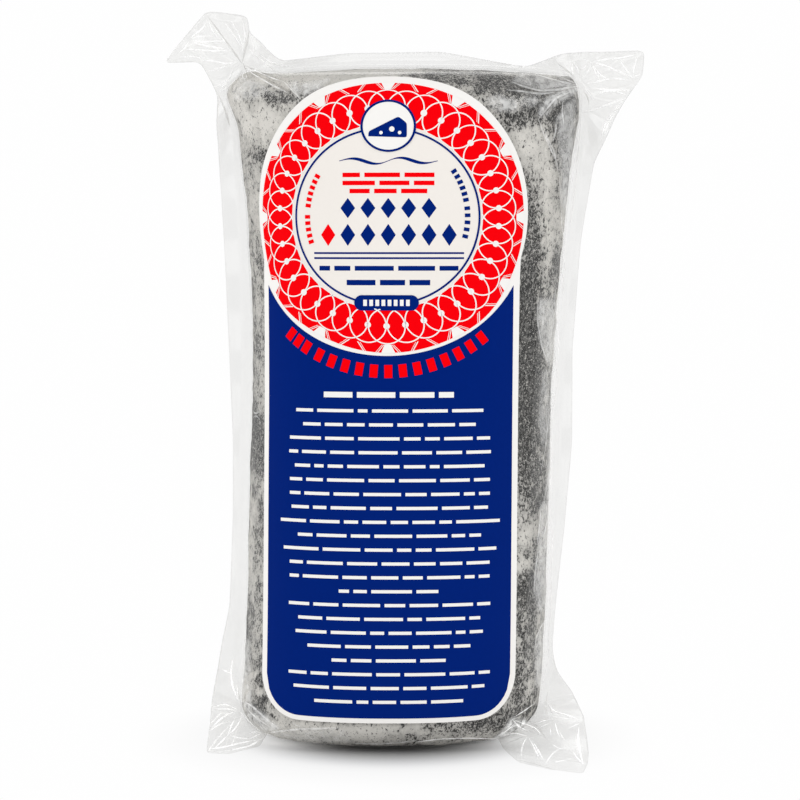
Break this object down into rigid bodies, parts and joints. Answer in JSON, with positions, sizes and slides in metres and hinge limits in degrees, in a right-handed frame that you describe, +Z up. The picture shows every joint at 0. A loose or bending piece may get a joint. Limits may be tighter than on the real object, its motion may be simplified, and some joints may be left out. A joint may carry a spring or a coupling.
{
  "type": "vacuum-packed ash-rinded goat cheese log",
  "caption": "Upright log of ash-rinded goat cheese, sealed in a tight clear bag with side fins, a top seam and pinched corner ears, with a round-headed sticker on its front.",
  "frame": {"origin": "middle of the flat spot under the log, on the surface that it stands on", "axes": "+Z up along the log, +Y from the sticker to the back, +X to the right as the sticker is seen"},
  "size_m": [0.0828, 0.0518, 0.1269],
  "materials": {
    "film_over_rind": "clear glossy film, drawn tight over a matt grey rind with fine dark ash flecks, milky where it stands off the cheese",
    "label_paper": "satin white sticker printed in navy blue and red"
  },
  "bodies": {
    "root": {"sealed_bag": "film_over_rind", "label": "label_paper"}
  },
  "joints": []
}
